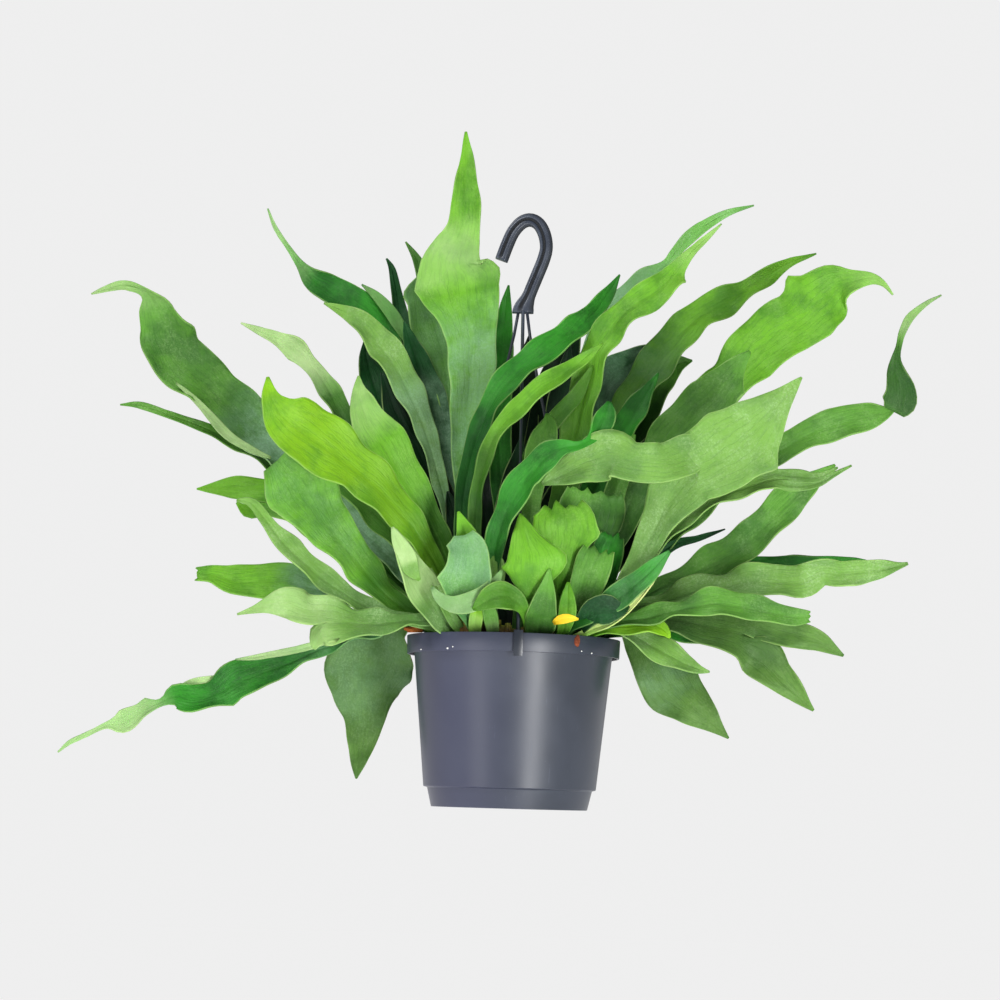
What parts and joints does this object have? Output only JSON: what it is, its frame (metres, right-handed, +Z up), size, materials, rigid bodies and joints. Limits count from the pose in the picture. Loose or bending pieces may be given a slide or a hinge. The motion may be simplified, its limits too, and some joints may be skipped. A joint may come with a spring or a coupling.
{
  "type": "staghorn fern in hanging pot",
  "caption": "Staghorn fern with forked, felted fronds growing from a rhizome in a round plastic pot hung from a hooked hanger.",
  "frame": {"origin": "centre of the pot's underside", "axes": "+Z up along the pot, -Y towards the front, +X to the right as seen from the front"},
  "size_m": [0.6895, 0.3707, 0.5462],
  "materials": {
    "pot": "satin",
    "hanger": "satin",
    "growing_medium": "matte",
    "rhizome": "matte",
    "frond_lime": "matte",
    "frond_bright": "matte",
    "frond_mid": "matte",
    "frond_deep": "matte",
    "frond_dark": "matte",
    "frond_grey": "matte",
    "frond_felt": "matte",
    "frond_young": "matte"
  },
  "bodies": {
    "root": {"pot": "pot", "growing_medium": "growing_medium", "rhizome": "rhizome", "hanger": "hanger", "frond_left_01": "frond_grey", "frond_left_02": "frond_mid", "frond_left_03": "frond_lime", "frond_left_04": "frond_mid", "frond_left_05": "frond_mid", "frond_left_06": "frond_mid", "frond_left_07": "frond_felt", "frond_left_08": "frond_bright", "frond_left_09": "frond_felt", "frond_left_10": "frond_deep", "frond_left_11": "frond_deep", "frond_left_12": "frond_deep", "frond_left_13": "frond_felt", "frond_left_14": "frond_mid", "frond_left_15": "frond_bright", "frond_left_16": "frond_dark", "frond_left_17": "frond_dark", "frond_left_18": "frond_mid", "frond_left_19": "frond_deep", "frond_left_20": "frond_grey", "frond_centre_01": "frond_felt", "frond_centre_02": "frond_deep", "frond_centre_03": "frond_deep", "frond_centre_04": "frond_deep", "frond_right_01": "frond_bright", "frond_right_02": "frond_grey", "frond_right_03": "frond_mid", "frond_right_04": "frond_bright", "frond_right_05": "frond_deep", "frond_right_06": "frond_felt", "frond_right_07": "frond_felt", "frond_right_08": "frond_bright", "frond_right_09": "frond_mid", "frond_right_10": "frond_felt", "frond_right_11": "frond_deep", "frond_right_12": "frond_lime", "frond_right_13": "frond_mid", "frond_right_14": "frond_dark", "frond_right_15": "frond_mid", "frond_right_16": "frond_felt", "frond_right_17": "frond_dark", "frond_front_01": "frond_grey", "frond_front_02": "frond_bright", "frond_front_03": "frond_lime", "frond_front_04": "frond_bright", "frond_front_05": "frond_mid", "frond_front_06": "frond_bright", "frond_front_07": "frond_mid", "frond_front_08": "frond_young", "frond_front_09": "frond_mid", "frond_front_10": "frond_deep", "frond_back_01": "frond_dark", "frond_back_02": "frond_deep", "frond_back_03": "frond_mid", "frond_back_04": "frond_dark", "frond_back_05": "frond_deep"}
  },
  "joints": []
}
